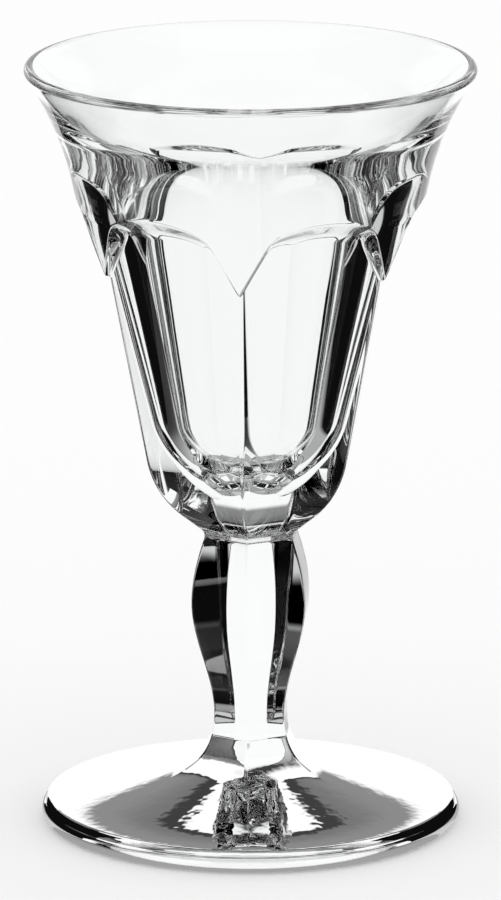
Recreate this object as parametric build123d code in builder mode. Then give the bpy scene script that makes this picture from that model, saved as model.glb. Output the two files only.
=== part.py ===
"""Cordial glass of clear pressed glass: arch-panelled bowl, six-sided stem and round foot."""

import os
from math import atan2, cos, degrees, radians, sin, tan

from build123d import *

# Heights above the table, in millimetres
overall_height = 92.0
pendant_height = 69.2
neck_height = 35.1
knop_height = 27.2
waist_height = 13.2
boss_height = 10.6

# The six-sided body of the bowl, measured across its flats
panel_count = 6
pendant_across_flats = 32.2
panel_lean = 10.1
shoulder_lean = 48.0
shoulder_radius = 13.0
neck_across_flats = 10.6
neck_collar = 0.7
neck_fillet = 1.1

# The round skirt, which hangs over the panels in pendants and flares to the rim
pendant_radius = 19.2
skirt_lean = 12.2
skirt_rise = 8.8
rim_diameter = 53.4
lip_thickness = 1.3

# The arches cut into the skirt, drawn on an upright plane that stands outside it
arch_plane_radius = 22.0
arch_rise = 8.2
arch_crown = 0.9
arch_foot_half_width = 12.8
arch_side_lean = 35.5
arch_shoulder_radius = 5.0
arch_draft = 30.0
arch_depth = 6.2

# The cavity: round at the bottom, wider above the panels, and parallel to the outside at the lip
base_thickness = 6.9
cavity_pendant_radius = 14.3
cavity_lean = 13.0
cavity_flare_rise = 5.8
mouth_length = 7.3

# The six-sided stem
knop_across_flats = 13.6
waist_across_flats = 8.4

# The round foot, and the flared six-sided boss on it that carries the stem
boss_across_flats = 9.0
boss_foot_across_flats = 13.0
boss_foot_height = 7.4
foot_diameter = 50.0
foot_edge_height = 1.2
foot_edge_round = 0.9
foot_lean = 15.9
foot_crown_radius = 7.5
ring_width = 6.5
hollow_rise = 0.9


def upright_plane(azimuth, setback=0.0):
    """Vertical plane with its x axis along the azimuth, set back from the axis of the glass."""
    across = Vector(cos(radians(azimuth)), sin(radians(azimuth)), 0)
    facing = Vector(sin(radians(azimuth)), -cos(radians(azimuth)), 0)
    return Plane(origin=facing * -setback, x_dir=across, z_dir=facing)


panel_pitch = 360 / panel_count
flat_planes = [upright_plane(panel_pitch * turn) for turn in range(panel_count // 2)]
rim_radius = rim_diameter / 2

# Six-sided body of the bowl, from the neck to inside the skirt
pendant_flat = pendant_across_flats / 2
neck_flat = neck_across_flats / 2
collar_height = neck_height + neck_collar
skirt_flare_height = pendant_height + skirt_rise
panel_slope = tan(radians(panel_lean))
shoulder_slope = tan(radians(shoulder_lean))
body_top_flat = pendant_flat + skirt_rise * panel_slope
panel_run = pendant_flat - pendant_height * panel_slope
shoulder_run = neck_flat - collar_height * shoulder_slope
corner_height = (panel_run - shoulder_run) / (shoulder_slope - panel_slope)
corner_flat = panel_run + corner_height * panel_slope

with BuildPart() as panelled_body:
    for index, plane in enumerate(flat_planes):
        with BuildSketch(plane):
            with BuildLine():
                FilletPolyline(
                    (neck_flat, neck_height),
                    (neck_flat, collar_height),
                    (corner_flat, corner_height),
                    (body_top_flat, skirt_flare_height),
                    radius=[neck_fillet, shoulder_radius],
                )
                Polyline(
                    (body_top_flat, skirt_flare_height),
                    (0, skirt_flare_height),
                    (0, neck_height),
                    (neck_flat, neck_height),
                )
            make_face()
            mirror(about=Plane.YZ)
        extrude(amount=rim_radius, both=True, mode=Mode.INTERSECT if index else Mode.ADD)

# Bowl: the flared skirt with its arches, the panelled body below it and the cavity
skirt_flare_radius = pendant_radius + skirt_rise * tan(radians(skirt_lean))
lip_inner_radius = rim_radius - lip_thickness
flare_lean = degrees(atan2(rim_radius - skirt_flare_radius, overall_height - skirt_flare_height))
rim_lean = 2 * flare_lean - skirt_lean
arch_height = pendant_height + arch_rise
arch_shoulder_height = arch_height - arch_crown
arch_side_slope = tan(radians(arch_side_lean))
arch_shoulder_half_width = arch_foot_half_width - (arch_rise - arch_crown) * arch_side_slope
arch_base_height = pendant_height - arch_depth
arch_base_half_width = arch_foot_half_width + arch_depth * arch_side_slope
cavity_bottom_height = neck_height + base_thickness
cavity_flare_height = pendant_height + cavity_flare_rise
cavity_slope = tan(radians(cavity_lean))
cavity_bottom_radius = cavity_pendant_radius - (pendant_height - cavity_bottom_height) * cavity_slope
cavity_round = cavity_bottom_radius * cos(radians(cavity_lean)) / (1 - sin(radians(cavity_lean)))
cavity_flare_radius = cavity_pendant_radius + cavity_flare_rise * cavity_slope
mouth_radius = lip_inner_radius - mouth_length * sin(radians(rim_lean))
mouth_height = overall_height - mouth_length * cos(radians(rim_lean))

with BuildPart() as bowl:
    with BuildSketch(Plane.XZ):
        with BuildLine():
            Polyline(
                (rim_radius, overall_height),
                (0, overall_height),
                (0, pendant_height),
                (pendant_radius, pendant_height),
                (skirt_flare_radius, skirt_flare_height),
            )
            TangentArc(
                (skirt_flare_radius, skirt_flare_height),
                (rim_radius, overall_height),
                tangent=(sin(radians(skirt_lean)), cos(radians(skirt_lean))),
            )
        make_face()
    revolve(axis=Axis.Z)
    for panel in range(panel_count):
        with BuildSketch(upright_plane(panel_pitch * panel - 90, arch_plane_radius)) as arch:
            with BuildLine():
                ThreePointArc(
                    (-arch_shoulder_half_width, arch_shoulder_height),
                    (0, arch_height),
                    (arch_shoulder_half_width, arch_shoulder_height),
                )
                Polyline(
                    (arch_shoulder_half_width, arch_shoulder_height),
                    (arch_base_half_width, arch_base_height),
                    (-arch_base_half_width, arch_base_height),
                    (-arch_shoulder_half_width, arch_shoulder_height),
                )
            make_face()
            fillet(arch.vertices().group_by(Axis.Y)[-1], radius=arch_shoulder_radius)
        extrude(amount=arch_depth, taper=arch_draft, mode=Mode.SUBTRACT)
    add(panelled_body.part)
    with BuildSketch(Plane.XZ):
        with BuildLine():
            round_center = (0, cavity_bottom_height + cavity_round)
            bottom = CenterArc(round_center, cavity_round, -90, 90 - cavity_lean)
            Polyline(
                bottom @ 1,
                (cavity_flare_radius, cavity_flare_height),
                (mouth_radius, mouth_height),
                (lip_inner_radius, overall_height),
                (0, overall_height),
                bottom @ 0,
            )
        make_face()
    revolve(axis=Axis.Z, mode=Mode.SUBTRACT)
bowl.part.label = "bowl"

# Stem: a six-sided baluster from the neck down to the boss of the foot
knop_flat = knop_across_flats / 2
waist_flat = waist_across_flats / 2
boss_flat = boss_across_flats / 2
taper_middle = ((knop_flat + waist_flat) / 2, (knop_height + waist_height) / 2)

with BuildPart() as stem:
    for index, plane in enumerate(flat_planes):
        with BuildSketch(plane):
            with BuildLine():
                TangentArc((knop_flat, knop_height), (neck_flat, neck_height), tangent=(0, 1))
                knop = TangentArc((knop_flat, knop_height), taper_middle, tangent=(0, -1))
                TangentArc(knop @ 1, (waist_flat, waist_height), tangent=knop % 1)
                TangentArc((waist_flat, waist_height), (boss_flat, boss_height), tangent=(0, -1))
                Polyline(
                    (boss_flat, boss_height),
                    (0, boss_height),
                    (0, neck_height),
                    (neck_flat, neck_height),
                )
            make_face()
            mirror(about=Plane.YZ)
        extrude(amount=rim_radius, both=True, mode=Mode.INTERSECT if index else Mode.ADD)
stem.part.label = "stem"

# Boss: the flared six-sided root of the stem, pressed with the foot
boss_foot_flat = boss_foot_across_flats / 2

with BuildPart() as boss:
    for index, plane in enumerate(flat_planes):
        with BuildSketch(plane):
            with BuildLine():
                stem_end = TangentArc(
                    (waist_flat, waist_height),
                    (boss_flat, boss_height),
                    tangent=(0, -1),
                    mode=Mode.PRIVATE,
                )
                flare = TangentArc(
                    (boss_flat, boss_height),
                    (boss_foot_flat, boss_foot_height),
                    tangent=stem_end % 1,
                )
                root = PolarLine(flare @ 1, foot_crown_radius - boss_foot_flat, direction=flare % 1)
                Polyline(
                    root @ 1,
                    ((root @ 1).X, foot_edge_height),
                    (0, foot_edge_height),
                    (0, boss_height),
                    (boss_flat, boss_height),
                )
            make_face()
            mirror(about=Plane.YZ)
        extrude(amount=rim_radius, both=True, mode=Mode.INTERSECT if index else Mode.ADD)

# Foot: a low cone with a rounded edge, hollowed underneath so that it stands on a ring
foot_radius = foot_diameter / 2
ring_outer_radius = foot_radius - foot_edge_height
ring_inner_radius = ring_outer_radius - ring_width

with BuildPart() as foot:
    with BuildSketch(Plane.XZ):
        with BuildLine():
            Polyline(
                (0, hollow_rise),
                (ring_inner_radius, 0),
                (ring_outer_radius, 0),
                (foot_radius, foot_edge_height),
            )
            edge_center = (foot_radius - foot_edge_round, foot_edge_height)
            edge = CenterArc(edge_center, foot_edge_round, 0, 90 - foot_lean)
            slope_run = (edge @ 1).X - foot_crown_radius
            crown = (foot_crown_radius, (edge @ 1).Y + slope_run * tan(radians(foot_lean)))
            Polyline(edge @ 1, crown, (0, crown[1]), (0, hollow_rise))
        make_face()
    revolve(axis=Axis.Z)
    add(boss.part)
foot.part.label = "foot"

os.makedirs("parts", exist_ok=True)
export_step(bowl.part, "parts/bowl.step")
export_step(stem.part, "parts/stem.step")
export_step(foot.part, "parts/foot.step")
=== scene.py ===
"""Cordial glass of clear pressed glass, dressed for a bright studio photograph.

Sizes are millimetres in the classes below and metres in Blender. Angles are degrees.
"""

from __future__ import annotations

import logging
import math
from collections.abc import Callable
from dataclasses import dataclass, field
from enum import Enum
from functools import partial
from typing import Any, Union

import bpy
import numpy as np
from bpy.types import ID, Material, NodeSocket, NodeTree, Object, World
from bpy.types import Node as ShaderNode
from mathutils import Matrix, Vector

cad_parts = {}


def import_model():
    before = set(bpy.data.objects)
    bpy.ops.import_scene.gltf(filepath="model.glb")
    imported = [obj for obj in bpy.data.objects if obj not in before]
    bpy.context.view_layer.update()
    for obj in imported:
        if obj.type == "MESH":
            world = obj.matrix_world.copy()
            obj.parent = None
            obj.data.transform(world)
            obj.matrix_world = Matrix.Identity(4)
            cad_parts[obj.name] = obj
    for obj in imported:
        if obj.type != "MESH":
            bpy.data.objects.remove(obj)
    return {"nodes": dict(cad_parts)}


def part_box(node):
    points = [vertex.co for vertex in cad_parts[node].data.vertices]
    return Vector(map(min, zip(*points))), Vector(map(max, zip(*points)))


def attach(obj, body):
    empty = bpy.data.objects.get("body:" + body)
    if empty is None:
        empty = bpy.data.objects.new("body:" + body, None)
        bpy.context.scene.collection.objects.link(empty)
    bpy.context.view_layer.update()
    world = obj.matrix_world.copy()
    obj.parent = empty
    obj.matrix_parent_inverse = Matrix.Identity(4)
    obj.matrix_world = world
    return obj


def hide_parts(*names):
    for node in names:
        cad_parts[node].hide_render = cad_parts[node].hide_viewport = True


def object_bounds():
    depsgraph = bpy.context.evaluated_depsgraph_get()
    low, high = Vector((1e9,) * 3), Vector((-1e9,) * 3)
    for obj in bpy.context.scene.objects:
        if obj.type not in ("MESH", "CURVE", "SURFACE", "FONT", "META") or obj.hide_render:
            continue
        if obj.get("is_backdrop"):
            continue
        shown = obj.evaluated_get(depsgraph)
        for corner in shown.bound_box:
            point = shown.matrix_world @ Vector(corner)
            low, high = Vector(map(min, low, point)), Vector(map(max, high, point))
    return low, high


LOG = logging.getLogger("cordial_glass")
MM = 0.001
PHOTO_HEIGHT_PX = 900
BODY = "root"
WHITE = "#FFFFFF"
HALVINGS = 48
STRAIGHT = 1e-9

# Reflections are counted in whole numbers, so each test lies half way between two
AT_LEAST_ONCE = 0.5
AT_LEAST_TWICE = 1.5

Point = tuple[float, float]
Knot = tuple[float, float, float]
Profile = Callable[[np.ndarray], np.ndarray]
Test = Callable[[np.ndarray], np.ndarray]
Feed = Union[ShaderNode, NodeSocket]


class Node(Enum):
    """The three pieces of the glass, by the names of their solids."""

    BOWL = "bowl"
    STEM = "stem"
    FOOT = "foot"


class Finish(Enum):
    """Which finish a face takes, as the index of its material on the piece."""

    GLASS = 0
    SEAM = 1


def srgb(hex_colour: str) -> tuple[float, ...]:
    """Turn an sRGB hex colour into linear light.

    Args:
        hex_colour: Six hex digits after a hash sign.

    Returns:
        Linear red, green and blue, with an alpha of 1.
    """
    digits = hex_colour.lstrip("#")
    parts = [int(digits[i : i + 2], 16) / 255 for i in (0, 2, 4)]
    # The curve of the sRGB standard
    linear = [p / 12.92 if p <= 0.04045 else ((p + 0.055) / 1.055) ** 2.4 for p in parts]
    return (*linear, 1.0)


def add_node(
    tree: NodeTree, kind: str, links: dict[Any, Any] | None = None, **settings: Any
) -> ShaderNode:
    """Add a shader node with its settings and links.

    Args:
        tree: The node tree to add to.
        kind: Blender's name of the node type, without the ShaderNode that it starts with.
        links: Input name or index to its value, or to the socket or node that feeds it. A node
            feeds it from its first output.
        settings: Properties of the node itself.

    Returns:
        The new node.
    """
    node = tree.nodes.new("ShaderNode" + kind)
    for name, value in settings.items():
        setattr(node, name, value)
    for name, value in (links or {}).items():
        source = value.outputs[0] if isinstance(value, ShaderNode) else value
        if isinstance(source, NodeSocket):
            tree.links.new(source, node.inputs[name])
        else:
            node.inputs[name].default_value = source
    return node


def blank_tree(owner: Material | World) -> NodeTree:
    """Turn on the nodes of a material or a world, and empty them.

    Args:
        owner: The material or world.

    Returns:
        Its empty node tree.
    """
    owner.use_nodes = True
    owner.node_tree.nodes.clear()
    return owner.node_tree


def add_object(name: str, data: ID) -> Object:
    """Put a new object into the scene, at the origin.

    Args:
        name: Its name.
        data: Its mesh or camera.

    Returns:
        The object.
    """
    made = bpy.data.objects.new(name, data)
    bpy.context.scene.collection.objects.link(made)
    return made


def add_sheet(name: str, corners: list[tuple[float, ...]]) -> Object:
    """Put a flat sheet into the scene.

    Args:
        name: Its name.
        corners: Its four corners in order, in metres.

    Returns:
        The object.
    """
    mesh = bpy.data.meshes.new(name)
    mesh.from_pydata(corners, [], [(0, 1, 2, 3)])
    return add_object(name, mesh)


def smooth_min(first: np.ndarray, second: np.ndarray, reach: float) -> np.ndarray:
    """Lesser of two values, with the corner where they cross rounded off."""
    share = np.clip(0.5 + 0.5 * (second - first) / reach, 0.0, 1.0)
    return second + (first - second) * share - reach * share * (1.0 - share)


def smooth_max(first: np.ndarray, second: np.ndarray, reach: float) -> np.ndarray:
    """Greater of two values, with the corner where they cross rounded off."""
    return -smooth_min(-first, -second, reach)


def run_along(points: np.ndarray) -> np.ndarray:
    """Length along a line of points, from the first to each of them."""
    return np.concatenate([[0.0], np.cumsum(np.linalg.norm(np.diff(points, axis=0), axis=1))])


def spin(turn: float) -> np.ndarray:
    """Matrix that turns a point of a half profile by an angle in radians."""
    cosine, sine = math.cos(turn), math.sin(turn)
    return np.array([[cosine, -sine], [sine, cosine]])


def halve(low: np.ndarray, high: np.ndarray, holds: Test) -> np.ndarray:
    """Find where a test stops holding, by halving the span again and again.

    Args:
        low: Values at which the test holds.
        high: Values at which it doesn't.
        holds: The test.

    Returns:
        The values at which it changes.
    """
    for _ in range(HALVINGS):
        middle = (low + high) / 2.0
        below = holds(middle)
        low = np.where(below, middle, low)
        high = np.where(below, high, middle)
    return (low + high) / 2.0


def rows_between(first: np.ndarray, last: np.ndarray | float, count: int) -> list[np.ndarray]:
    """Rows spaced evenly from one to another, with both."""
    return [first + (last - first) * share for share in np.linspace(0.0, 1.0, count)]


@dataclass
class Outline:
    """Half profile of a surface round the axis, as dense points of radius and height.

    Attributes:
        start: First point.
        step: Greatest spacing of the points.
        points: The points so far.
        heading: Direction in which the outline came to its last point.
    """

    start: Point
    step: float = 0.05
    points: list[np.ndarray] = field(default_factory=list)
    heading: np.ndarray = field(default_factory=lambda: np.array([0.0, 1.0]))

    def __post_init__(self) -> None:
        """Put the first point down."""
        self.points.append(np.array(self.start, dtype=float))

    def line(self, end: Point) -> Outline:
        """Run straight to a point.

        Args:
            end: The point.

        Returns:
            This outline.
        """
        first = self.points[-1]
        last = np.array(end, dtype=float)
        length = float(np.linalg.norm(last - first))
        count = max(1, math.ceil(length / self.step))
        self.points += rows_between(first, last, count + 1)[1:]
        self.heading = (last - first) / length
        return self

    def head(self, heading: Point) -> Outline:
        """Turn on the spot to a heading for the next arc."""
        self.heading = np.array(heading, dtype=float) / np.linalg.norm(heading)
        return self

    def arc(self, end: Point) -> Outline:
        """Run along the arc that leaves on the present heading and ends at a point.

        Args:
            end: The point.

        Returns:
            This outline.
        """
        first = self.points[-1]
        chord = np.array(end, dtype=float) - first
        side = np.array([-self.heading[1], self.heading[0]])
        lift = float(chord @ side)
        if abs(lift) < STRAIGHT:
            return self.line(end)
        radius = float(chord @ chord) / (2.0 * lift)
        centre = first + side * radius
        sweep = 2.0 * math.atan2(lift, float(chord @ self.heading))
        count = max(2, math.ceil(abs(radius * sweep) / self.step))
        arm = first - centre
        for share in np.linspace(0.0, 1.0, count + 1)[1:]:
            self.points.append(centre + spin(sweep * share) @ arm)
        self.heading = spin(sweep) @ self.heading
        return self

    def corner(self, apex: Point, beyond: Point, radius: float) -> Outline:
        """Run towards an apex and round its corner, to where the line to the next point begins.

        Args:
            apex: The sharp corner.
            beyond: A point on the line after the corner.
            radius: Radius of the rounding.

        Returns:
            This outline.
        """
        first = self.points[-1]
        tip = np.array(apex, dtype=float)
        into = (tip - first) / np.linalg.norm(tip - first)
        out = (np.array(beyond) - tip) / np.linalg.norm(np.array(beyond) - tip)
        half_turn = math.acos(float(np.clip(into @ out, -1.0, 1.0))) / 2.0
        setback = radius * math.tan(half_turn)
        self.line(tuple(tip - into * setback))
        return self.arc(tuple(tip + out * setback))

    def back(self, length: float) -> Outline:
        """Take up the last stretch of the outline.

        Args:
            length: About how much of it to take up.

        Returns:
            This outline.
        """
        run = run_along(self.array()[::-1])[1:]
        dropped = int(np.searchsorted(run, length)) + 1
        self.points = self.points[:-dropped]
        return self.head(tuple(self.points[-1] - self.points[-2]))

    def array(self) -> np.ndarray:
        """All points as rows of radius and height."""
        return np.array(self.points)

    def spaced(self, count: int) -> np.ndarray:
        """Points evenly spaced along the outline.

        Args:
            count: How many points.

        Returns:
            Rows of radius and height.
        """
        dense = self.array()
        run = run_along(dense)
        wanted = np.linspace(0.0, run[-1], count)
        return np.column_stack([np.interp(wanted, run, dense[:, axis]) for axis in (0, 1)])

    def radius_at(self, height: np.ndarray) -> np.ndarray:
        """Radius at each height, for an outline that always rises or always falls.

        Args:
            height: The heights.

        Returns:
            The radii.
        """
        dense = self.array()
        order = np.argsort(dense[:, 1], kind="stable")
        return np.interp(height, dense[order, 1], dense[order, 0])


@dataclass(frozen=True)
class SixSides:
    """The angles round the axis at which the glass is meshed, closer together at its ridges.

    Attributes:
        sides: Number of flat sides.
        half_side_columns: Mesh columns from the middle of a side to its ridge.
        crowding: Power that draws the columns towards the ridge; 1 spaces them evenly.
    """

    sides: int = 6
    half_side_columns: int = 26
    crowding: float = 1.6

    @property
    def half_angle(self) -> float:
        """Angle from the middle of a side to its ridge, in radians."""
        return math.pi / self.sides

    def offsets(self) -> np.ndarray:
        """Angles from the middle of a side to the mesh columns on it.

        Returns:
            Angles in radians, from ridge to ridge, without the last.
        """
        share = np.arange(self.half_side_columns) / self.half_side_columns
        half = 1.0 - (1.0 - share) ** self.crowding
        return np.concatenate([[-1.0], -half[:0:-1], half]) * self.half_angle

    def azimuths(self) -> np.ndarray:
        """Angles of all mesh columns round the axis."""
        pitch = 2.0 * self.half_angle
        return np.concatenate([pitch * side + self.offsets() for side in range(self.sides)])

    def from_side(self) -> np.ndarray:
        """Angle of each mesh column from the middle of its own side."""
        return np.tile(self.offsets(), self.sides)

    def radius(self, flat: np.ndarray, ridge_round: np.ndarray | float) -> np.ndarray:
        """Radius of a six-sided section with rounded ridges.

        Args:
            flat: Distance from the axis to the flats, shaped to broadcast over columns.
            ridge_round: Radius of the ridges.

        Returns:
            Radius for each row and column.
        """
        angle = np.abs(self.from_side())
        from_ridge = self.half_angle - angle
        centre = (flat - ridge_round) / math.cos(self.half_angle)
        touch_along = centre + ridge_round * math.cos(self.half_angle)
        touch_angle = np.arctan2(ridge_round * math.sin(self.half_angle), touch_along)
        under = np.maximum(ridge_round**2 - (centre * np.sin(from_ridge)) ** 2, 0.0)
        rounded = centre * np.cos(from_ridge) + np.sqrt(under)
        return np.where(from_ridge < touch_angle, rounded, flat / np.cos(angle))


@dataclass
class RingMesh:
    """Closed mesh made of rings round the axis, with a pole at each end.

    Attributes:
        sides: The angles of the mesh columns.
        name: Name of the piece.
        rings: Points of the rings so far.
    """

    sides: SixSides
    name: str
    rings: list[np.ndarray] = field(default_factory=list)

    def add(self, radius: np.ndarray, height: np.ndarray) -> None:
        """Add rings, from rows of radii and heights.

        Args:
            radius: Radius for each row, or for each row and column.
            height: Height for each row, or for each row and column.
        """
        azimuth = self.sides.azimuths()
        shape = (np.shape(radius)[0], azimuth.size)
        wide, high = (
            np.broadcast_to(rows if np.ndim(rows) == 2 else np.reshape(rows, (-1, 1)), shape)
            for rows in (radius, height)
        )
        for r, z in zip(wide, high):
            self.rings.append(np.column_stack([r * np.cos(azimuth), r * np.sin(azimuth), z]))

    def build(self, first_pole: float, last_pole: float, seams: tuple[bool, bool]) -> Object:
        """Make the Blender object.

        Args:
            first_pole: Height of the point on the axis that closes the first ring.
            last_pole: Height of the point on the axis that closes the last ring.
            seams: Whether the first and the last end are flat joints with another piece.

        Returns:
            The object, shaded smooth, with its flat joints marked for the seam finish.
        """
        width = self.rings[0].shape[0]
        count = len(self.rings)
        poles = np.array([[0.0, 0.0, first_pole], [0.0, 0.0, last_pole]])
        vertices = np.concatenate([*self.rings, poles]) * MM
        here = np.arange(width)
        after = (here + 1) % width
        faces: list[tuple[int, ...]] = []
        for row in range(count - 1):
            low, high = row * width, (row + 1) * width
            faces += zip(low + here, low + after, high + after, high + here)
        wall_faces = len(faces)
        first, last = count * width, count * width + 1
        top = (count - 1) * width
        faces += zip(after, here, np.full(width, first))
        faces += zip(top + here, top + after, np.full(width, last))
        mesh = bpy.data.meshes.new(self.name)
        mesh.from_pydata(vertices.tolist(), [], [tuple(int(i) for i in f) for f in faces])
        finish = np.full(len(faces), Finish.GLASS.value)
        smooth = np.full(len(faces), True)
        for seam, start in zip(seams, (wall_faces, wall_faces + width)):
            if seam:
                finish[start : start + width] = Finish.SEAM.value
                smooth[start : start + width] = False
        mesh.polygons.foreach_set("material_index", finish)
        mesh.polygons.foreach_set("use_smooth", smooth)
        mesh.update()
        mesh.validate()
        return add_object(self.name, mesh)


@dataclass(frozen=True)
class PressedGlass:
    """Clear soda-lime glass, pressed in a mould and fire polished.

    It gives the eye a colourless body that bends its surroundings, bright clean edges, and the
    slight waviness that the cold mould leaves on the skin.

    Attributes:
        name: Name of the material.
        tint: Colour that light takes on in the glass.
        ior: Refractive index of soda-lime glass.
        roughness: Roughness of a fire-polished skin.
        glint: Strength of the skin's reflection square on, held down so that the white behind the
            glass stays near white through it.
        chill_wave: Spacing of the chill waves.
        chill_depth: Depth of the chill waves.
    """

    name: str = "pressed_soda_lime_glass"
    tint: str = "#FDFEFE"
    ior: float = 1.52
    roughness: float = 0.0
    glint: str = "#898989"
    chill_wave: float = 5.0
    chill_depth: float = 0.006

    def material(self) -> Material:
        """Make the material.

        Returns:
            The new material.
        """
        made = bpy.data.materials.new(self.name)
        tree = blank_tree(made)
        place = add_node(tree, "TexCoord").outputs["Object"]
        scale = 1.0 / (self.chill_wave * MM)
        wave = add_node(tree, "TexNoise", {"Vector": place, "Scale": scale, "Detail": 1.0})
        depth = self.chill_depth * MM
        skin = add_node(tree, "Bump", {"Height": wave, "Strength": 1.0, "Distance": depth})
        body = {
            "Base Color": srgb(self.tint),
            "Roughness": self.roughness,
            "IOR": self.ior,
            "Transmission Weight": 1.0,
            "Specular Tint": srgb(self.glint),
            "Normal": skin,
        }
        add_node(tree, "OutputMaterial", {"Surface": add_node(tree, "BsdfPrincipled", body)})
        return made


@dataclass(frozen=True)
class ChilledGlass(PressedGlass):
    """The same glass in the thin foot, which the mould chills most.

    Finer and deeper chill waves give the eye ragged edges on the dark patches of the foot.
    """

    name: str = "pressed_soda_lime_glass_chilled"
    chill_wave: float = 1.3
    chill_depth: float = 0.018


@dataclass(frozen=True)
class FusedSeam:
    """Hot joint between two pieces of the same glass, stuck while soft.

    It gives the eye nothing: light goes straight through, as in one body of glass.

    Attributes:
        name: Name of the material.
    """

    name: str = "fused_glass_seam"

    def material(self) -> Material:
        """Make the material.

        Returns:
            The new material.
        """
        made = bpy.data.materials.new(self.name)
        tree = blank_tree(made)
        clear = add_node(tree, "BsdfTransparent", {"Color": srgb(WHITE)})
        add_node(tree, "OutputMaterial", {"Surface": clear})
        return made


def dress(piece: Object, node: Node, glass: Material, seam: Material) -> None:
    """Give a piece its finishes, hide the solid that it stands for, and attach it to the body.

    Args:
        piece: The piece.
        node: The solid that it stands for.
        glass: Finish of its skin.
        seam: Finish of its joints.
    """
    piece.data.materials.append(glass)
    piece.data.materials.append(seam)
    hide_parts(node.value)
    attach(piece, BODY)
    LOG.info("%s: %d faces", piece.name, len(piece.data.polygons))


@dataclass(frozen=True)
class Arch:
    """Round-headed arch that each panel cuts into the skirt, with a sloped cove along its edge.

    Attributes:
        plane_radius: Distance from the axis of the upright plane that the arch is drawn on.
        height: Top of the arch on that plane.
        shoulder_height: Height at which its crown meets its sides.
        foot_half_width: Half its width at the pendants.
        foot_height: Height of the pendants.
        side_lean: Lean of its sides from upright.
        shoulder_radius: Rounding between the crown and the sides.
        draft: Slope of the cove, from square to the panel.
    """

    plane_radius: float = 22.0
    height: float = 77.4
    shoulder_height: float = 76.5
    foot_half_width: float = 12.8
    foot_height: float = 69.2
    side_lean: float = 35.5
    shoulder_radius: float = 5.0
    draft: float = 30.0

    def distance(self, across: np.ndarray, height: np.ndarray) -> np.ndarray:
        """Signed distance to the arch on its plane, less than 0 inside it.

        Args:
            across: Distance from the middle of the panel.
            height: Height above the table.

        Returns:
            Distance in millimetres.
        """
        lean = math.radians(self.side_lean)
        side_rise = self.shoulder_height - self.foot_height
        shoulder = self.foot_half_width - side_rise * math.tan(lean)
        sag = self.height - self.shoulder_height
        crown_radius = (shoulder**2 + sag**2) / (2.0 * sag)
        crown_centre = self.height - crown_radius
        inner_radius = crown_radius - self.shoulder_radius
        normal = (math.cos(lean), math.sin(lean))
        side = self.foot_half_width * normal[0] + self.foot_height * normal[1]
        side_offset = side - self.shoulder_radius
        reach = side_offset - crown_centre * normal[1]
        along = math.sqrt(inner_radius**2 - reach**2)
        corner_u = reach * normal[0] - along * normal[1]
        corner_z = crown_centre + reach * normal[1] + along * normal[0]
        u = np.abs(across)
        to_side = u * normal[0] + height * normal[1] - side_offset
        to_crown = np.hypot(u, height - crown_centre) - inner_radius
        to_corner = np.hypot(u - corner_u, height - corner_z)
        beside = (u - corner_u) * normal[1] - (height - corner_z) * normal[0] > 0.0
        above = u * (corner_z - crown_centre) < corner_u * (height - crown_centre)
        head = np.where(above, to_crown, to_corner)
        return np.where(beside, to_side, head) - self.shoulder_radius

    def cove_radius(self, angle: np.ndarray, height: np.ndarray) -> np.ndarray:
        """Radius at which a line from the axis meets the cove.

        Args:
            angle: Angle from the middle of the panel.
            height: Height above the table.

        Returns:
            Radius in millimetres.
        """
        slope = math.tan(math.radians(self.draft))

        def solid(out: np.ndarray) -> np.ndarray:
            """Whether the arch leaves glass at a distance out from the axis."""
            edge = self.distance(out * np.tan(angle), height)
            return edge + (self.plane_radius - out) * slope > 0.0

        near = np.zeros(np.broadcast(angle, height).shape)
        return halve(near, near + 2.0 * self.plane_radius, solid) / np.cos(angle)


@dataclass(frozen=True)
class BowlRows:
    """Mesh rows of the bowl, counted from the neck up and then down inside.

    Attributes:
        shoulder: Rows up the neck and the curve of the shoulder.
        low_panel: Rows from there to a little past the middle of the panels.
        past_middle: How far past the middle.
        high_panel: Rows from there to the arches.
        below_cove: Distances of the last rows on the panels from the cove.
        cove: Rows across the cove.
        above_edge: Distances of the first rows on the skirt from the edge of the arch.
        skirt: Rows from there to the lip.
        lip: Rows round the lip.
        cavity: Rows down the wall of the cavity.
    """

    shoulder: int = 42
    low_panel: int = 8
    past_middle: float = 4.0
    high_panel: int = 9
    below_cove: tuple[float, ...] = (1.2, 0.8, 0.5, 0.25)
    cove: int = 11
    above_edge: tuple[float, ...] = (0.12, 0.25, 0.4, 0.6, 0.85)
    skirt: int = 36
    lip: int = 18
    cavity: int = 90


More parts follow.
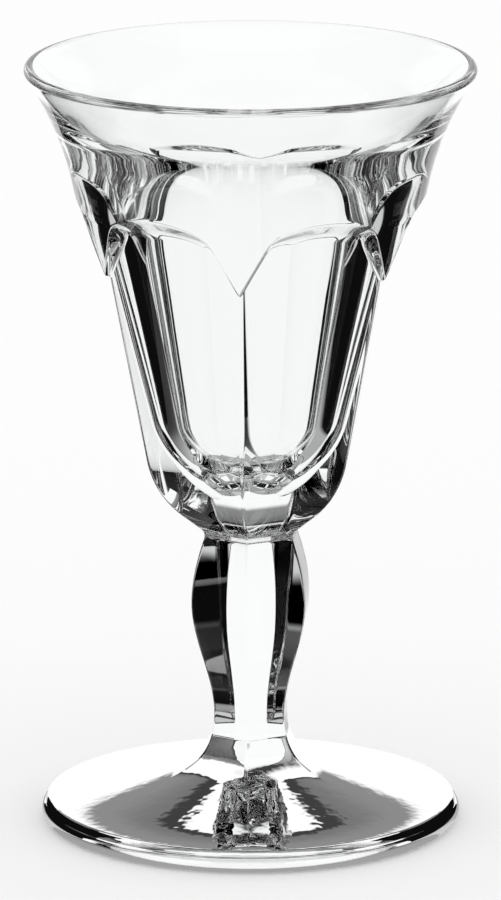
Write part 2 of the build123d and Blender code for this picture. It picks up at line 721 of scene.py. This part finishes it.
@dataclass(frozen=True)
class Bowl:
    """Panelled bowl with a flared skirt, a rounded lip and a round cavity.

    Attributes give heights above the table, distances to the flats of the six-sided body, radii,
    and leans from upright.
    """

    overall_height: float
    neck_height: float
    pendant_height: float = 69.2
    pendant_flat: float = 16.1
    panel_lean: float = 10.1
    shoulder_lean: float = 48.0
    shoulder_radius: float = 13.0
    neck_flat: float = 5.3
    neck_collar: float = 0.7
    neck_fillet: float = 1.1
    ridge_round: float = 0.6
    neck_ridge_round: float = 0.5
    pendant_radius: float = 19.2
    skirt_lean: float = 12.2
    skirt_flare_height: float = 78.0
    rim_radius: float = 26.7
    rim_lean: float = 32.0
    lip_thickness: float = 1.3
    arch_edge_round: float = 0.5
    cove_fillet: float = 0.9
    cavity_bottom_height: float = 42.0
    cavity_pendant_radius: float = 14.3
    cavity_lean: float = 13.0
    cavity_flare_height: float = 73.0
    mouth_bend: Point = (22.0, 85.6)
    mouth_round: float = 1.0
    mouth_lean: float = 31.0
    arch: Arch = Arch()
    sides: SixSides = SixSides()
    rows: BowlRows = BowlRows()

    @property
    def shoulder_top(self) -> float:
        """Height past which the shoulder hardly curves."""
        return self.neck_height + self.shoulder_radius

    @property
    def lip_centre(self) -> np.ndarray:
        """Centre of the lip's round section."""
        half = self.lip_thickness / 2.0
        return np.array([self.rim_radius - half, self.overall_height - half])

    def lip_point(self, lean: float, outward: bool) -> np.ndarray:
        """Point where the lip's round meets a wall.

        Args:
            lean: Lean of the wall.
            outward: Whether it is the outer wall.

        Returns:
            Radius and height.
        """
        turn = math.radians(lean)
        arm = np.array([math.cos(turn), -math.sin(turn)]) * self.lip_thickness / 2.0
        return self.lip_centre + (arm if outward else -arm)

    def body_outline(self) -> Outline:
        """Flats of the six-sided body.

        Returns:
            The outline from the neck up past the arches.
        """
        lean = math.tan(math.radians(self.panel_lean))
        shoulder = math.tan(math.radians(self.shoulder_lean))
        collar = self.neck_height + self.neck_collar
        panel_run = self.pendant_flat - self.pendant_height * lean
        corner_height = (panel_run - self.neck_flat + collar * shoulder) / (shoulder - lean)
        corner = (panel_run + corner_height * lean, corner_height)
        top = (panel_run + self.overall_height * lean, self.overall_height)
        outline = Outline((self.neck_flat, self.neck_height))
        outline.corner((self.neck_flat, collar), corner, self.neck_fillet)
        outline.corner(corner, top, self.shoulder_radius)
        return outline.line(top)

    def skirt_outline(self) -> Outline:
        """Outside of the skirt.

        Returns:
            The outline from far below the pendants up to the lip.
        """
        lean = math.tan(math.radians(self.skirt_lean))
        low = self.neck_height
        base = (self.pendant_radius + (low - self.pendant_height) * lean, low)
        rise = self.skirt_flare_height - self.pendant_height
        flare = (self.pendant_radius + rise * lean, self.skirt_flare_height)
        return Outline(base).line(flare).arc(tuple(self.lip_point(self.rim_lean, True)))

    def cavity_outline(self) -> Outline:
        """Wall of the cavity.

        Returns:
            The outline from the round bottom on the axis up to the lip.
        """
        turn = math.radians(self.cavity_lean)
        low = self.cavity_bottom_height
        corner = self.cavity_pendant_radius - (self.pendant_height - low) * math.tan(turn)
        reach = corner * math.cos(turn) / (1.0 - math.sin(turn))
        meet = (reach * math.cos(turn), low + reach * (1.0 - math.sin(turn)))
        rise = self.cavity_flare_height - self.pendant_height
        flare = (self.cavity_pendant_radius + rise * math.tan(turn), self.cavity_flare_height)
        outline = Outline((0.0, low)).head((1.0, 0.0)).arc(meet).line(flare)
        outline.arc(self.mouth_bend).back(self.mouth_round)
        lip = self.lip_point(self.mouth_lean, False)
        wall = (lip - self.mouth_bend) / np.linalg.norm(lip - self.mouth_bend)
        bend_end = tuple(self.mouth_bend + wall * self.mouth_round)
        return outline.arc(bend_end).line(tuple(lip))

    def body_radius(self, body: Outline, height: np.ndarray) -> np.ndarray:
        """Radius of the six-sided body on each mesh column.

        Args:
            body: The outline of its flats.
            height: Height on each column.

        Returns:
            Radius on each column.
        """
        curve = self.shoulder_top - self.neck_height
        grown = np.clip((height - self.neck_height) / curve, 0.0, 1.0)
        ridge = self.neck_ridge_round + (self.ridge_round - self.neck_ridge_round) * grown
        return self.sides.radius(body.radius_at(height), ridge)

    def cross(self, below: Profile, above: Profile) -> np.ndarray:
        """Height at which one radius, rising, passes another on each mesh column.

        Args:
            below: The radius that is greater low down, from a height.
            above: The radius that is greater high up, from a height.

        Returns:
            Height for each column.
        """
        low = np.full(self.sides.from_side().size, self.cavity_bottom_height)
        high = np.full(low.size, self.overall_height)
        return halve(low, high, lambda height: below(height) > above(height))

    def shoulder_heights(self, body: Outline) -> np.ndarray:
        """Heights of the rows up to past the middle of the panels, closer where they curve.

        Args:
            body: The outline of the flats.

        Returns:
            The heights.
        """
        dense = body.array()
        middle = (self.neck_height + self.pendant_height) / 2.0 + self.rows.past_middle
        low = dense[dense[:, 1] <= self.shoulder_top]
        run = run_along(low)
        close = np.interp(np.linspace(0.0, run[-1], self.rows.shoulder), run, low[:, 1])
        straight = np.linspace(self.shoulder_top, middle, self.rows.low_panel)
        return np.concatenate([close, straight[1:]])

    def row_heights(
        self, body: Outline, cove_foot: np.ndarray, arch_edge: np.ndarray
    ) -> np.ndarray:
        """Heights of the mesh rows outside, from the neck up to the lip.

        Args:
            body: The outline of the flats.
            cove_foot: Height at which the cove leaves the panel, on each mesh column.
            arch_edge: Height at which it meets the skirt.

        Returns:
            Height for each row and column.
        """
        lip_start = self.lip_point(self.rim_lean, True)[1]
        lowest, *nearer = self.rows.below_cove
        *near, farthest = self.rows.above_edge
        rows = [np.full(cove_foot.size, z) for z in self.shoulder_heights(body)]
        rows += rows_between(rows[-1], cove_foot - lowest, self.rows.high_panel)[1:]
        rows += [cove_foot - drop for drop in nearer]
        rows += rows_between(cove_foot, arch_edge, self.rows.cove)
        rows += [arch_edge + rise for rise in near]
        rows += rows_between(arch_edge + farthest, lip_start, self.rows.skirt)
        return np.array(rows)

    def lip_rows(self) -> np.ndarray:
        """Rows round the lip, between its two walls.

        Returns:
            Rows of radius and height.
        """
        half = self.lip_thickness / 2.0
        leans = np.linspace(-self.rim_lean, 180.0 - self.mouth_lean, self.rows.lip)
        turns = np.radians(leans[1:-1])
        return self.lip_centre + half * np.column_stack([np.cos(turns), np.sin(turns)])

    def build(self) -> Object:
        """Make the bowl's mesh.

        Returns:
            The bowl, closed, with a flat joint at the neck.
        """
        body, skirt = self.body_outline(), self.skirt_outline()
        panel = partial(self.body_radius, body)
        cove = partial(self.arch.cove_radius, self.sides.from_side())
        arch_edge = self.cross(skirt.radius_at, cove)
        height = self.row_heights(body, self.cross(panel, cove), arch_edge)
        skirted = smooth_min(skirt.radius_at(height), cove(height), self.arch_edge_round)
        mesh = RingMesh(self.sides, "bowl_visual")
        mesh.add(smooth_max(skirted, panel(height), self.cove_fillet), height)
        mesh.add(*self.lip_rows().T)
        inside = self.cavity_outline().spaced(self.rows.cavity)[::-1]
        mesh.add(*inside[:-1].T)
        return mesh.build(self.neck_height, self.cavity_bottom_height, (True, False))


@dataclass(frozen=True)
class Stem:
    """Six-sided baluster between the bowl's neck and the boss of the foot.

    Attributes give heights above the table, distances to the flats, the spread of the flats below
    the neck, and the number of mesh rows.
    """

    neck_height: float
    boss_height: float
    neck_flat: float = 5.3
    neck_spread: float = 19.0
    knop_height: float = 27.2
    knop_flat: float = 6.8
    waist_height: float = 13.2
    waist_flat: float = 4.2
    boss_flat: float = 4.5
    ridge_round: float = 0.5
    rows: int = 90
    sides: SixSides = SixSides()

    @staticmethod
    def hermite(height: np.ndarray, top: Knot, bottom: Knot) -> np.ndarray:
        """Cubic between two heights with given slopes.

        Args:
            height: Heights at which to read the curve.
            top: Height, value and slope at its first end.
            bottom: Height, value and slope at its last end.

        Returns:
            The curve's values.
        """
        start, first, leave = top
        end, last, arrive = bottom
        span = end - start
        t = np.clip((height - start) / span, 0.0, 1.0)
        return (
            first * (2 * t**3 - 3 * t**2 + 1)
            + leave * span * (t**3 - 2 * t**2 + t)
            + last * (-2 * t**3 + 3 * t**2)
            + arrive * span * (t**3 - t**2)
        )

    def flat_at(self, height: np.ndarray) -> np.ndarray:
        """Distance to the flats, as a smooth curve through the neck, knop, waist and boss.

        Args:
            height: Heights above the table.

        Returns:
            The distance at each height.
        """
        neck = (self.neck_height, self.neck_flat, -math.tan(math.radians(self.neck_spread)))
        knop = (self.knop_height, self.knop_flat, 0.0)
        waist = (self.waist_height, self.waist_flat, 0.0)
        upper = self.hermite(height, neck, knop)
        lower = self.hermite(height, knop, waist)
        drop = self.waist_height - self.boss_height
        flare = self.boss_flat - self.waist_flat
        radius = (drop**2 + flare**2) / (2.0 * flare)
        under = np.clip(self.waist_height - height, 0.0, drop)
        root = self.waist_flat + radius - np.sqrt(radius**2 - under**2)
        below_knop = np.where(height > self.waist_height, lower, root)
        return np.where(height > self.knop_height, upper, below_knop)

    def build(self) -> Object:
        """Make the stem's mesh.

        Returns:
            The stem, closed, with a flat joint at each end.
        """
        height = np.linspace(self.boss_height, self.neck_height, self.rows)[:, None]
        mesh = RingMesh(self.sides, "stem_visual")
        mesh.add(self.sides.radius(self.flat_at(height), self.ridge_round), height[:, 0])
        return mesh.build(self.boss_height, self.neck_height, (True, True))


@dataclass(frozen=True)
class Foot:
    """Round foot: a low cone with a rounded edge, hollow underneath, and a flared six-sided boss.

    Attributes give heights above the table, distances to the flats of the boss, and radii. The
    last ones count the mesh rows of the boss and the cone, crowd them to where the two meet, and
    space the points of the boss, the edge and the underside.
    """

    boss_height: float
    waist_height: float = 13.2
    waist_flat: float = 4.2
    boss_flat: float = 4.5
    boss_foot_flat: float = 6.5
    boss_foot_height: float = 7.4
    boss_fillet: float = 0.9
    ridge_round: float = 0.5
    radius: float = 25.0
    edge_height: float = 1.2
    edge_round: float = 0.9
    lean: float = 15.9
    crown_radius: float = 7.5
    ring_width: float = 6.5
    hollow_rise: float = 0.9
    boss_rows: int = 34
    boss_crowding: float = 1.5
    cone_rows: int = 44
    cone_crowding: float = 1.6
    boss_step: float = 0.02
    edge_step: float = 0.12
    underside_step: float = 0.8
    sides: SixSides = SixSides()

    @property
    def edge_top(self) -> np.ndarray:
        """Point where the cone meets the round of the edge.

        Returns:
            Radius and height.
        """
        turn = math.radians(self.lean)
        centre = np.array([self.radius - self.edge_round, self.edge_height])
        return centre + self.edge_round * np.array([math.sin(turn), math.cos(turn)])

    def cone(self, radius: np.ndarray) -> np.ndarray:
        """Height of the cone at each radius."""
        out, up = self.edge_top
        return up + (out - radius) * math.tan(math.radians(self.lean))

    def boss_outline(self) -> Outline:
        """Flats of the boss.

        Returns:
            The outline from the stem down and out past the crown of the foot.
        """
        drop = self.waist_height - self.boss_height
        turn = 2.0 * math.atan2(self.boss_flat - self.waist_flat, drop)
        outline = Outline((self.boss_flat, self.boss_height), step=self.boss_step)
        outline.head((math.sin(turn), -math.cos(turn)))
        outline.arc((self.boss_foot_flat, self.boss_foot_height))
        end = outline.points[-1] + outline.heading * self.crown_radius
        return outline.line(tuple(end))

    def boss_rings(self, boss: np.ndarray) -> tuple[np.ndarray, np.ndarray]:
        """Rings down the boss, to where each mesh column meets the cone.

        Args:
            boss: Dense points of the flats.

        Returns:
            Radius and height for each row and column.
        """
        wall = self.sides.radius(boss[:, :1], self.ridge_round)
        above = boss[:, 1][:, None] - self.cone(wall) > 0.0
        meet = np.argmin(above, axis=0)
        share = 1.0 - (1.0 - np.linspace(0.0, 1.0, self.boss_rows)) ** self.boss_crowding
        index = share[:, None] * meet[None, :]
        column = np.arange(meet.size)[None, :]
        low = np.floor(index).astype(int)
        high = np.minimum(low + 1, boss.shape[0] - 1)
        part = index - low
        radius = wall[low, column] * (1.0 - part) + wall[high, column] * part
        height = boss[low, 1] * (1.0 - part) + boss[high, 1] * part
        return radius, smooth_max(height, self.cone(radius), self.boss_fillet)

    def cone_rings(self, boss: np.ndarray, start: np.ndarray) -> tuple[np.ndarray, np.ndarray]:
        """Rings out along the cone, from the boss to the edge.

        Args:
            boss: Dense points of the boss's flats.
            start: Radius of the last ring of the boss, on each mesh column.

        Returns:
            Radius and height for each row and column.
        """
        spread = (np.linspace(0.0, 1.0, self.cone_rows) ** self.cone_crowding)[1:, None]
        radius = start + (self.edge_top[0] - start) * spread
        flats = radius * np.cos(np.abs(self.sides.from_side()))
        flare = np.interp(flats, boss[:, 0], boss[:, 1])
        return radius, smooth_max(flare, self.cone(radius), self.boss_fillet)

    def lower_outline(self) -> Outline:
        """Edge, resting ring and hollow underside.

        Returns:
            The outline from the top of the edge to the axis.
        """
        ring_outer = self.radius - self.edge_height
        outline = Outline(tuple(self.edge_top), step=self.edge_step)
        outline.head((1.0, -math.tan(math.radians(self.lean))))
        outline.arc((self.radius, self.edge_height))
        outline.head((0.0, -1.0)).arc((ring_outer, 0.0))
        outline.step = self.underside_step
        return outline.line((ring_outer - self.ring_width, 0.0)).arc((0.0, self.hollow_rise))

    def build(self) -> Object:
        """Make the foot's mesh.

        Returns:
            The foot, closed, with a flat joint on top of the boss.
        """
        boss = self.boss_outline().array()
        radius, height = self.boss_rings(boss)
        mesh = RingMesh(self.sides, "foot_visual")
        mesh.add(radius, height)
        mesh.add(*self.cone_rings(boss, radius[-1]))
        mesh.add(*self.lower_outline().array()[1:-1].T)
        return mesh.build(self.boss_height, self.hollow_rise, (True, False))


@dataclass(frozen=True)
class PhotoCamera:
    """Camera of the photograph.

    Attributes:
        distance: Distance from the axis of the glass, along the table.
        height: Height above the table.
        turn: Turn round the glass, from straight ahead.
        pitch: How far it looks down.
        focal_px: Focal length in pixels of the photograph.
        sensor: Longer side of the sensor.
        sight: How far it sees.
    """

    distance: float = 1009.2
    height: float = 298.8
    turn: float = 4.0
    pitch: float = 14.108
    focal_px: float = 8752.8
    sensor: float = 36.0
    sight: float = 100000.0

    def build(self) -> None:
        """Make the camera and set it as the scene's."""
        data = bpy.data.cameras.new("camera")
        data.sensor_fit = "AUTO"
        data.sensor_width = self.sensor
        data.lens = self.sensor * self.focal_px / PHOTO_HEIGHT_PX
        data.clip_end = self.sight * MM
        camera = add_object("camera", data)
        turn = math.radians(self.turn)
        camera.location = (
            math.sin(turn) * self.distance * MM,
            -math.cos(turn) * self.distance * MM,
            self.height * MM,
        )
        camera.rotation_euler = (math.radians(90.0 - self.pitch), 0.0, turn)
        bpy.context.scene.camera = camera


@dataclass(frozen=True)
class SoftStep:
    """Soft step in light where a measure, such as a heading, passes a point.

    Attributes:
        middle: Where the step is half way.
        blur: Half its width, less than 0 for a step down.
        tone: Light on its bright side.
    """

    middle: float
    blur: float
    tone: float = 1.0

    def along(self, tree: NodeTree, measure: Feed) -> ShaderNode:
        """Draw the step along a measure.

        Args:
            tree: The node tree to add to.
            measure: The measure.

        Returns:
            The light.
        """
        ends = {"From Min": self.middle - self.blur, "From Max": self.middle + self.blur}
        links = {"Value": measure, **ends, "To Max": self.tone}
        return add_node(tree, "MapRange", links, interpolation_type="SMOOTHSTEP")


@dataclass(frozen=True)
class Sight:
    """Where lines of sight that come out of the glass meet the cards and the dark room in front.

    Headings are degrees round the glass from straight behind it, positive to the right.

    Attributes:
        card_end: Heading, to either side, at which the cards end for a straight line of sight.
        gap: Heading, to either side, past which the table is open to the light again, and the
            room darkens the sweep.
        front: Heading, to either side, past which the room darkens the table.
        blur: Half the width of a soft edge.
    """

    card_end: float = 78.0
    gap: float = 90.0
    front: float = 110.0
    blur: float = 3.0

    @staticmethod
    def heading(tree: NodeTree, place: Feed) -> tuple[ShaderNode, ShaderNode]:
        """Heading of a place or direction round the glass.

        Args:
            tree: The node tree to add to.
            place: The place or direction.

        Returns:
            The heading, and its size to either side.
        """
        parts = add_node(tree, "SeparateXYZ", {0: place}).outputs
        turn = add_node(tree, "Math", {0: parts["X"], 1: parts["Y"]}, operation="ARCTAN2")
        heading = add_node(tree, "Math", {0: turn}, operation="DEGREES")
        return heading, add_node(tree, "Math", {0: heading}, operation="ABSOLUTE")

    def turned_back(
        self, tree: NodeTree, aside: Feed, front: float, once: Feed | float
    ) -> ShaderNode:
        """Light left in front, where lines of sight reflected inside the glass meet the room.

        Args:
            tree: The node tree to add to.
            aside: Size of the heading to either side.
            front: Heading at which the room begins.
            once: Share of the dark for lines of sight that were reflected only once.

        Returns:
            The share of light.
        """
        depth = add_node(tree, "LightPath").outputs["Glossy Depth"]
        inside = add_node(tree, "Math", {0: depth, 1: AT_LEAST_ONCE}, operation="GREATER_THAN")
        twice = add_node(tree, "Math", {0: depth, 1: AT_LEAST_TWICE}, operation="GREATER_THAN")
        single = add_node(tree, "Math", {0: inside, 1: once}, operation="MULTIPLY")
        inner = add_node(tree, "Math", {0: single, 1: twice}, operation="MAXIMUM")
        before = SoftStep(front, self.blur).along(tree, aside)
        dark = add_node(tree, "Math", {0: before, 1: inner}, operation="MULTIPLY")
        return add_node(tree, "Math", {0: 1.0, 1: dark}, operation="SUBTRACT")

    def open_side(self, tree: NodeTree, aside: Feed) -> ShaderNode:
        """Where a straight line of sight, far to the side, finds no card.

        Args:
            tree: The node tree to add to.
            aside: Size of the heading to either side.

        Returns:
            The share that is open.
        """
        depth = add_node(tree, "LightPath").outputs["Glossy Depth"]
        straight = add_node(tree, "Math", {0: depth, 1: AT_LEAST_ONCE}, operation="LESS_THAN")
        beyond = SoftStep(self.card_end, self.blur).along(tree, aside)
        return add_node(tree, "Math", {0: beyond, 1: straight}, operation="MULTIPLY")


@dataclass(frozen=True)
class Card:
    """Black card that stands upright beside the glass and faces it.

    Attributes:
        name: Name of the card.
        facing: Heading at which the card stands square to the glass.
        distance: Distance of its plane from the axis.
        back: Heading of its far edge.
        front: Heading of its near edge.
        height: Height of its near edge.
        back_height: Height of its far edge.
        foot_tone: Painted shade on the table at its foot, in place of the card's shadow.
        table_tone: Painted light on the table at the reach.
        reach: Distance from the card at which the table has that light.
        power: How the light grows over the reach.
    """

    name: str
    facing: float
    distance: float
    back: float
    front: float
    height: float
    back_height: float
    foot_tone: float
    table_tone: float
    reach: float
    power: float

    @property
    def normal(self) -> Point:
        """Direction from the glass square to the card."""
        turn = math.radians(self.facing)
        return (math.sin(turn), math.cos(turn))

    def edge(self, heading: float) -> Point:
        """Place of the card at a heading.

        Args:
            heading: The heading.

        Returns:
            Distances to the right of the glass and behind it, in metres.
        """
        away = self.distance / math.cos(math.radians(heading - self.facing)) * MM
        turn = math.radians(heading)
        return (math.sin(turn) * away, math.cos(turn) * away)

    def build(self) -> Object:
        """Make the card.

        Returns:
            The card, which only the glass sees.
        """
        near, far = self.edge(self.front), self.edge(self.back)
        near_top, far_top = self.height * MM, self.back_height * MM
        corners = [(*near, 0.0), (*far, 0.0), (*far, far_top), (*near, near_top)]
        card = add_sheet(self.name, corners)
        # Only the glass sees the card, and it casts no real shadow; the table's glow paints its
        # shade
        card.visible_camera = False
        card.visible_diffuse = False
        card.visible_shadow = False
        card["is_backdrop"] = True
        return card

    def light_before(self, tree: NodeTree, place: Feed) -> ShaderNode:
        """Painted shadow of the card on the table between the glass and the card.

        Args:
            tree: The node tree to add to.
            place: The place on the table.

        Returns:
            The light.
        """
        # Painted shadow: the table glows darkest at the card's foot and lighter over the reach
        square = {0: place, 1: (*self.normal, 0.0)}
        out = add_node(tree, "VectorMath", square, operation="DOT_PRODUCT").outputs["Value"]
        ends = {"From Min": self.distance * MM, "From Max": (self.distance - self.reach) * MM}
        near = add_node(tree, "MapRange", {"Value": out, **ends})
        grown = add_node(tree, "Math", {0: near, 1: self.power}, operation="POWER")
        tones = {"To Min": self.foot_tone, "To Max": self.table_tone}
        return add_node(tree, "MapRange", {"Value": grown, **tones})


@dataclass(frozen=True)
class BlackPaper:
    """Matt black paper, dyed through, on the cards.

    It gives the eye the black bands in the bowl and stem, and is open where no card should show.

    Attributes:
        name: Name of the material.
        tone: Light that it sends back.
    """

    name: str = "black_card"
    tone: float = 0.004

    def material(self, sight: Sight) -> Material:
        """Make the material.

        Args:
            sight: How lines of sight meet the cards.

        Returns:
            The new material.
        """
        made = bpy.data.materials.new(self.name)
        tree = blank_tree(made)
        _, aside = sight.heading(tree, add_node(tree, "TexCoord").outputs["Object"])
        black = add_node(tree, "Emission", {"Strength": self.tone})
        clear = add_node(tree, "BsdfTransparent")
        sides = {0: sight.open_side(tree, aside), 1: black, 2: clear}
        add_node(tree, "OutputMaterial", {"Surface": add_node(tree, "MixShader", sides)})
        return made


@dataclass(frozen=True)
class WhiteBoard:
    """Matt white painted board of the table.

    It gives the eye a pale floor with the soft shadow of the glass. The glass sees it as a glow
    of painted light and shade instead: white behind, painted shade before the cards, painted light
    past them and under the foot, and painted dark in front.

    Attributes:
        name: Name of the material.
        colour: Colour of the paint.
        lift: Light that it adds to what falls on it, so that it looks near white.
        gap_tone: Painted light that the glass sees on it past the cards.
        under: Painted light that the glass sees on it under the foot, by distance from the axis.
    """

    name: str = "white_table"
    colour: str = "#F4F4F4"
    lift: float = 0.08
    gap_tone: float = 0.6
    under: SoftStep = SoftStep(32.0 * MM, -8.0 * MM, 0.36)

    def light(self, tree: NodeTree, sight: Sight, left: Card, right: Card) -> ShaderNode:
        """Painted light and shade of the table, as the glass sees it.

        Args:
            tree: The node tree to add to.
            sight: How lines of sight meet the studio.
            left: The card on the left.
            right: The card on the right.

        Returns:
            The light.
        """
        place = add_node(tree, "TexCoord").outputs["Object"]
        heading, aside = sight.heading(tree, place)
        past = [SoftStep(card.back, sight.blur).along(tree, heading) for card in (left, right)]
        behind = add_node(tree, "Math", dict(enumerate(past)), operation="SUBTRACT")
        on_right = add_node(tree, "Math", {0: heading, 1: 0.0}, operation="GREATER_THAN")
        # Painted shade of the cards on the table, lighter away from each card
        sides = {"A": left.light_before(tree, place), "B": right.light_before(tree, place)}
        painted_card_shade = add_node(tree, "Mix", {"Factor": on_right, **sides})
        # Painted light on the table past the cards' near edges
        gap = SoftStep(sight.gap, sight.blur, self.gap_tone).along(tree, aside)
        around = add_node(tree, "Math", {0: painted_card_shade, 1: gap}, operation="MAXIMUM")
        # Painted dark on the table in front, for lines of sight reflected inside the glass
        room = sight.turned_back(tree, aside, sight.front, 1.0)
        left_over = add_node(tree, "Math", {0: around, 1: room}, operation="MULTIPLY")
        # Painted light on the table under and near the foot
        away = add_node(tree, "VectorMath", {0: place}, operation="LENGTH").outputs["Value"]
        light = add_node(
            tree, "Math", {0: left_over, 1: self.under.along(tree, away)}, operation="MAXIMUM"
        )
        for white in (behind, sight.open_side(tree, aside)):
            light = add_node(tree, "Math", {0: light, 1: white}, operation="MAXIMUM")
        return light

    def material(self, sight: Sight, left: Card, right: Card) -> Material:
        """Make the material.

        Args:
            sight: How lines of sight meet the studio.
            left: The card on the left.
            right: The card on the right.

        Returns:
            The new material.
        """
        made = bpy.data.materials.new(self.name)
        tree = blank_tree(made)
        paint = add_node(tree, "BsdfDiffuse", {"Color": srgb(self.colour)})
        lift = add_node(tree, "Emission", {"Strength": self.lift})
        seen = add_node(tree, "AddShader", {0: paint, 1: lift})
        # Other rays see the table as this glow of painted light and shade; the camera sees the lit
        # paint
        glow = add_node(tree, "Emission", {"Strength": self.light(tree, sight, left, right)})
        camera = add_node(tree, "LightPath").outputs["Is Camera Ray"]
        shown = add_node(tree, "MixShader", {0: camera, 1: glow, 2: seen})
        add_node(tree, "OutputMaterial", {"Surface": shown})
        return made


@dataclass(frozen=True)
class Sweep:
    """White sweep behind the table and the light over it, by the elevation of a line of sight.

    Attributes:
        name: Name of the world.
        falls: Steps by which the sweep darkens upwards.
        overhead_from: Lower edge of the light over the table.
        overhead_to: Its upper edge.
        room: Steps by which the dark room in front fades upwards, for single reflections.
    """

    name: str = "studio"
    falls: tuple[SoftStep, ...] = (
        SoftStep(23.5, 2.0, 0.74),
        SoftStep(34.0, 6.0, 0.08),
        SoftStep(40.3, 1.0, 0.13),
    )
    overhead_from: SoftStep = SoftStep(44.0, 0.5)
    overhead_to: SoftStep = SoftStep(62.0, 3.0)
    room: tuple[SoftStep, SoftStep] = (SoftStep(21.0, -3.0, 0.35), SoftStep(44.0, -0.5, 0.65))

    def light(self, tree: NodeTree, sight: Sight) -> ShaderNode:
        """Light from the sweep, from over the table and from the room, as the glass sees it.

        Args:
            tree: The node tree to add to.
            sight: How lines of sight meet the studio.

        Returns:
            The light.
        """
        place = add_node(tree, "TexCoord").outputs["Generated"]
        _, aside = sight.heading(tree, place)
        up = add_node(tree, "SeparateXYZ", {0: place}).outputs["Z"]
        rise = add_node(tree, "Math", {0: up}, operation="ARCSINE")
        elevation = add_node(tree, "Math", {0: rise}, operation="DEGREES")
        sweep: ShaderNode | float = 1.0
        for fall in self.falls:
            links = {0: sweep, 1: fall.along(tree, elevation)}
            sweep = add_node(tree, "Math", links, operation="SUBTRACT")
        ends = [end.along(tree, elevation) for end in (self.overhead_from, self.overhead_to)]
        overhead = add_node(tree, "Math", dict(enumerate(ends)), operation="SUBTRACT")
        bright = add_node(tree, "Math", {0: sweep, 1: overhead}, operation="MAXIMUM")
        fades = [step.along(tree, elevation) for step in self.room]
        once = add_node(tree, "Math", dict(enumerate(fades)), operation="ADD")
        room = sight.turned_back(tree, aside, sight.gap, once)
        return add_node(tree, "Math", {0: bright, 1: room}, operation="MULTIPLY")

    def build(self, sight: Sight) -> None:
        """Light the scene evenly from all round, and show the glass the sweep.

        Args:
            sight: How lines of sight meet the studio.
        """
        world = bpy.data.worlds.new(self.name)
        bpy.context.scene.world = world
        tree = blank_tree(world)
        path = add_node(tree, "LightPath").outputs
        rays = {0: path["Is Glossy Ray"], 1: path["Is Transmission Ray"]}
        through = add_node(tree, "Math", rays, operation="MAXIMUM")
        sky, glass_view = (
            add_node(tree, "Background", {"Color": srgb(WHITE), "Strength": strength})
            for strength in (1.0, self.light(tree, sight))
        )
        shown = add_node(tree, "MixShader", {0: through, 1: sky, 2: glass_view})
        add_node(tree, "OutputWorld", {"Surface": shown})


@dataclass(frozen=True)
class Studio:
    """White table and sweep with a black card at each side, and the camera of the photograph.

    Attributes:
        table_half: Half the size of the table.
        table_gap: Gap between the foot and the table, which keeps the glass optically apart.
        left: The card on the left.
        right: The card on the right.
    """

    table_half: float = 6000.0
    table_gap: float = 0.05
    left: Card = Card(
        name="left_card",
        facing=-50.0,
        distance=105.0,
        back=-36.0,
        front=-88.0,
        height=150.0,
        back_height=36.0,
        foot_tone=0.035,
        table_tone=0.6,
        reach=85.0,
        power=3.0,
    )
    right: Card = Card(
        name="right_card",
        facing=46.0,
        distance=79.0,
        back=33.5,
        front=88.0,
        height=120.0,
        back_height=36.0,
        foot_tone=0.05,
        table_tone=0.42,
        reach=14.0,
        power=1.0,
    )

    def table(self, sight: Sight) -> None:
        """Make the white table.

        Args:
            sight: How lines of sight meet the studio.
        """
        half = self.table_half * MM
        level = -self.table_gap * MM
        signs = ((-1, -1), (1, -1), (1, 1), (-1, 1))
        table = add_sheet("table", [(x * half, y * half, level) for x, y in signs])
        table.data.materials.append(WhiteBoard().material(sight, self.left, self.right))
        table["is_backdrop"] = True

    def cards(self, sight: Sight) -> None:
        """Make the black cards.

        Args:
            sight: How lines of sight meet the studio.
        """
        paper = BlackPaper().material(sight)
        for card in (self.left, self.right):
            card.build().data.materials.append(paper)

    @staticmethod
    def light_paths() -> None:
        """Let light pass as many faces of the glass as it needs."""
        cycles = bpy.context.scene.cycles
        cycles.max_bounces = 24
        cycles.glossy_bounces = 16
        cycles.transmission_bounces = 24
        cycles.transparent_max_bounces = 32

    def build(self) -> None:
        """Make the camera, the table, the cards and the light."""
        sight = Sight()
        PhotoCamera().build()
        self.table(sight)
        self.cards(sight)
        Sweep().build(sight)
        self.light_paths()
        LOG.info("studio: camera, table, two cards and sweep")


def main() -> None:
    """Build the glass and the studio."""
    logging.basicConfig(level=logging.INFO, format="%(name)s: %(message)s")
    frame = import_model()
    solid_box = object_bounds()
    LOG.info("solids: %s", ", ".join(sorted(frame["nodes"])))
    bowl_low, bowl_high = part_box(Node.BOWL.value)
    stem_low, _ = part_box(Node.STEM.value)
    glass = PressedGlass().material()
    foot_glass = ChilledGlass().material()
    seam = FusedSeam().material()
    neck_height = bowl_low.z / MM
    boss_height = stem_low.z / MM
    bowl = Bowl(overall_height=bowl_high.z / MM, neck_height=neck_height)
    stem = Stem(neck_height=neck_height, boss_height=boss_height)
    foot = Foot(boss_height=boss_height)
    dress(bowl.build(), Node.BOWL, glass, seam)
    dress(stem.build(), Node.STEM, glass, seam)
    dress(foot.build(), Node.FOOT, foot_glass, seam)
    Studio().build()
    scene = bpy.context.scene
    scene.view_settings.view_transform = "Standard"
    bpy.context.view_layer.update()
    boxes = {"cad": solid_box, "visual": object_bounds()}
    {name: [list(corner) for corner in box] for name, box in boxes.items()}


if __name__ == "__main__":
    main()
